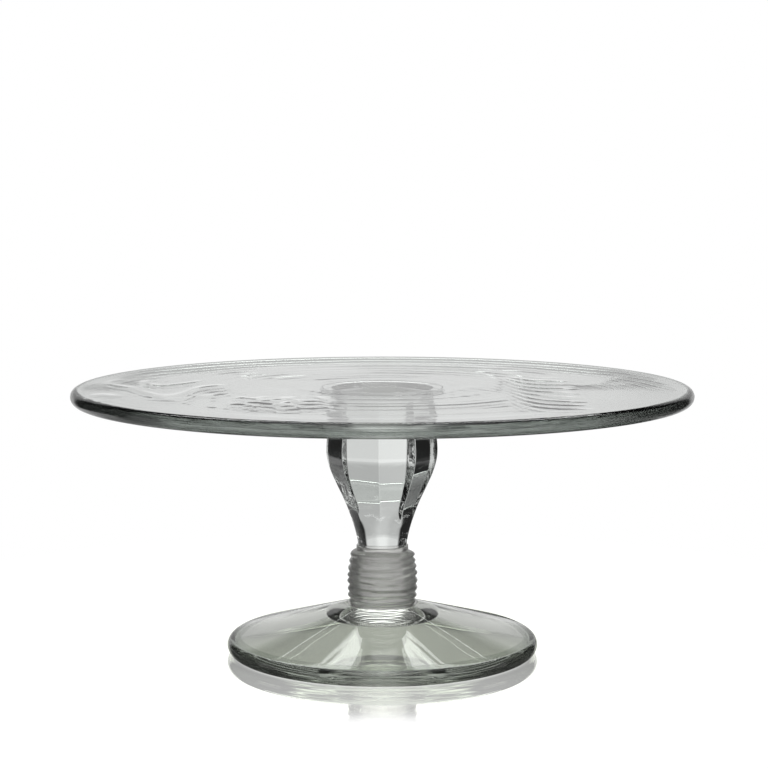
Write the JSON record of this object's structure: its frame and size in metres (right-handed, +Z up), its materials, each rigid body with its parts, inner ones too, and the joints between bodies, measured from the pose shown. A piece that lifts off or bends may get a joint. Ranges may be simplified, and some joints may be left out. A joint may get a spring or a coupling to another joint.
{
  "type": "footed glass cake stand",
  "caption": "Clear hand-made glass cake stand: flat round plate with a rounded rim on a panel-cut baluster, a satin ribbed collar and a low conical foot.",
  "frame": {"origin": "centre of the foot on the surface the stand rests on", "axes": "+Z up the stand's turning axis, towards the plate"},
  "size_m": [0.3, 0.3, 0.1312],
  "materials": {
    "clear_glass": "fire-polished clear crystal",
    "satin_glass": "satin, faintly grey-green",
    "foot_glass": "fire-polished clear crystal, faintly grey-green in the thickness"
  },
  "bodies": {
    "root": {"plate": "clear_glass", "upper_merese": "clear_glass", "baluster_stem": "clear_glass", "collar_core": "satin_glass", "collar_ring_1": "satin_glass", "collar_ring_2": "satin_glass", "collar_ring_3": "satin_glass", "collar_ring_4": "satin_glass", "collar_ring_5": "satin_glass", "collar_ring_6": "satin_glass", "collar_ring_7": "satin_glass", "collar_ring_8": "satin_glass", "foot": "foot_glass"}
  },
  "joints": []
}
